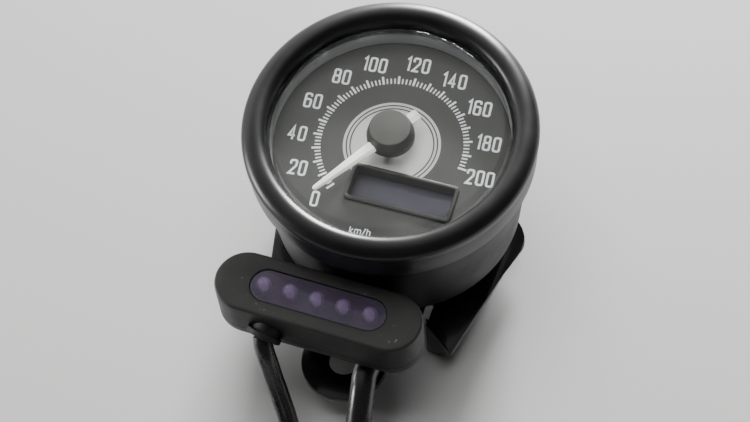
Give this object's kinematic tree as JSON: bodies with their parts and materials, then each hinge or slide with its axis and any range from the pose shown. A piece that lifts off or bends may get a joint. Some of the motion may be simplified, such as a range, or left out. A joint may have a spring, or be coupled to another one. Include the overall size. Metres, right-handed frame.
{
  "type": "motorcycle instrument cluster",
  "caption": "Round electric speedometer with a pointer and a small display on a folded bracket, with a pill-shaped indicator lamp box and two coiled leads with plugs.",
  "frame": {"origin": "middle of the footprint of the meter, bracket and indicator box, on the surface they stand on", "axes": "+Z is the way the dial faces; +Y is towards the dial's 12 o'clock side, away from the indicator box; +X is to the right seen from above"},
  "size_m": [0.1135, 0.141, 0.0465],
  "materials": {
    "black_plastic": "moulded, satin",
    "bezel_black": "polished, slightly soft",
    "black_rubber": "soft, smooth",
    "black_steel": "gloss black coating",
    "zinc_steel": "zinc plated",
    "dial_face": "printed film with a metallic centre",
    "display_surround": "satin",
    "display_glass": "liquid-crystal panel",
    "pointer_white": "off-white",
    "hub_grey": "satin",
    "clear_lens": "clear, polished",
    "violet_window": "tinted clear",
    "lamp_body": "tinted clear",
    "board_green": "solder mask",
    "white_plastic": "moulded",
    "trim_grey": "satin",
    "foam": "closed-cell foam tape",
    "plug_black": "moulded nylon"
  },
  "bodies": {
    "meter": {"bezel": "bezel_black", "front_case": "black_plastic", "lens": "clear_lens", "lens_gasket": "black_rubber", "trim_ring": "trim_grey", "dial": "dial_face", "display_frame": "display_surround", "display_module": "display_glass", "light_guide": "white_plastic", "circuit_board": "board_green", "board_screw_1": "zinc_steel", "board_screw_2": "zinc_steel", "board_screw_3": "zinc_steel", "stepper_motor": "black_plastic", "controller_chip": "black_plastic", "board_connector": "white_plastic", "rear_case": "black_plastic", "stud_left": "zinc_steel", "stud_right": "zinc_steel", "damper_left": "black_rubber", "damper_right": "black_rubber", "washer_left": "zinc_steel", "washer_right": "zinc_steel", "nut_left": "zinc_steel", "nut_right": "zinc_steel", "bracket": "black_steel", "indicator_housing": "black_plastic", "indicator_lens": "violet_window", "indicator_board": "board_green", "lamp_1": "lamp_body", "lamp_2": "lamp_body", "lamp_3": "lamp_body", "lamp_4": "lamp_body", "lamp_5": "lamp_body", "indicator_cover": "black_plastic", "indicator_grommet": "black_rubber", "adhesive_pad": "foam", "indicator_stand": "black_plastic", "stand_screw_1": "zinc_steel", "stand_screw_2": "zinc_steel", "harness_gland": "black_rubber", "inner_lead": "black_rubber", "harness_lead": "black_rubber", "indicator_lead": "black_rubber", "harness_coil": "black_rubber", "indicator_coil": "black_rubber", "harness_plug": "plug_black", "indicator_plug": "plug_black"},
    "needle": {"pointer": "pointer_white", "hub_cap": "hub_grey", "pointer_shaft": "zinc_steel"}
  },
  "joints": [
    {"name": "pointer_turn", "type": "hinge", "parent": "meter", "child": "needle", "pos_m": [0, 0.00787, 0.0427], "axis": [0, 0, 1], "range_deg": [-240, 0]}
  ]
}
